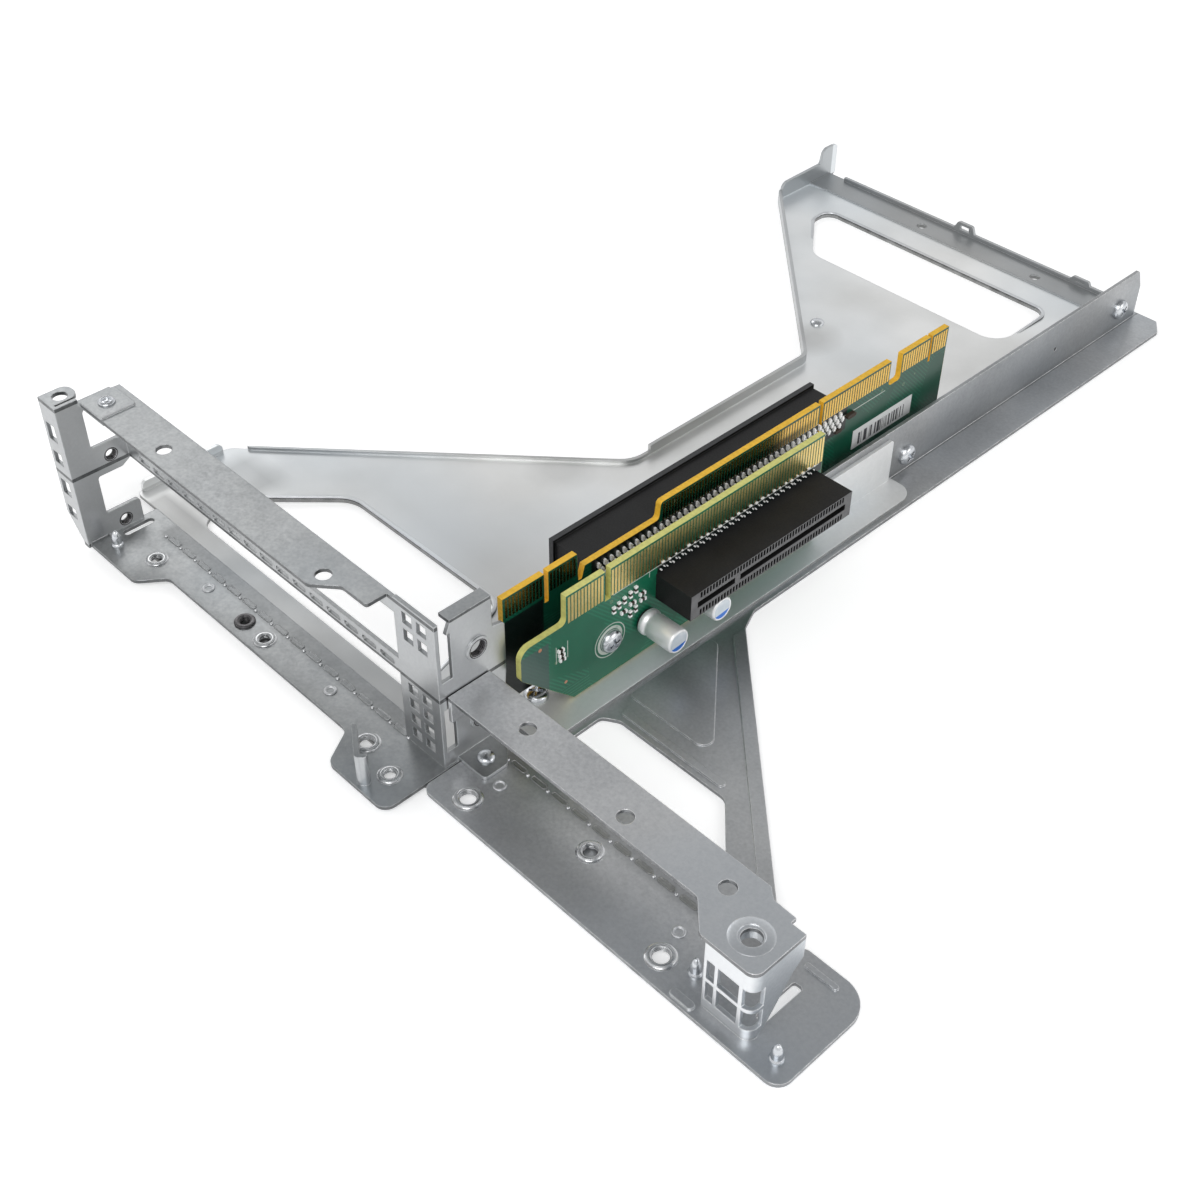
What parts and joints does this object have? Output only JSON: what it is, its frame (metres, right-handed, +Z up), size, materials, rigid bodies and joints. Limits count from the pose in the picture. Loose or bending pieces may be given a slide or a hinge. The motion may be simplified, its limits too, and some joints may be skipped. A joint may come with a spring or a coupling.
{
  "type": "riser cage bracket",
  "caption": "Sheet-metal riser cage with bracket windows, a handled base panel, a side rail and upright riser boards with card-edge slots.",
  "frame": {"origin": "underside of the base panel, where the riser wall's plane crosses the left bracket window's plane", "axes": "+X along the bracket windows towards the grille box, +Y back towards the handle, +Z up"},
  "size_m": [0.2344, 0.2927, 0.0445],
  "materials": {
    "galvanised_steel": "galvanised, semi-gloss",
    "board_green": "solder mask",
    "black_plastic": "moulded",
    "can_metal": "drawn, satin",
    "plated_steel": "nickel plated",
    "contact_gold": "gold plated",
    "label_paper": "plain label stock"
  },
  "bodies": {
    "root": {"left_io_frame": "galvanised_steel", "right_io_frame": "galvanised_steel", "cover_plate": "galvanised_steel", "guide_rail": "galvanised_steel", "riser_carrier_bracket": "galvanised_steel", "long_riser_board": "board_green", "short_riser_board": "board_green", "x16_slot_housing": "black_plastic", "x8_slot_housing": "black_plastic", "capacitor_bases": "black_plastic", "capacitor_cans": "can_metal", "rail_screws": "plated_steel", "board_screws": "plated_steel", "panel_screw": "plated_steel", "board_spacers": "plated_steel", "locating_pins": "plated_steel", "foot_rivet": "plated_steel", "clinch_joints": "galvanised_steel", "strip_rivet": "plated_steel", "panel_stud": "plated_steel", "ledge_insert": "plated_steel", "long_board_contacts": "contact_gold", "short_board_contacts": "contact_gold", "board_label": "label_paper"}
  },
  "joints": []
}
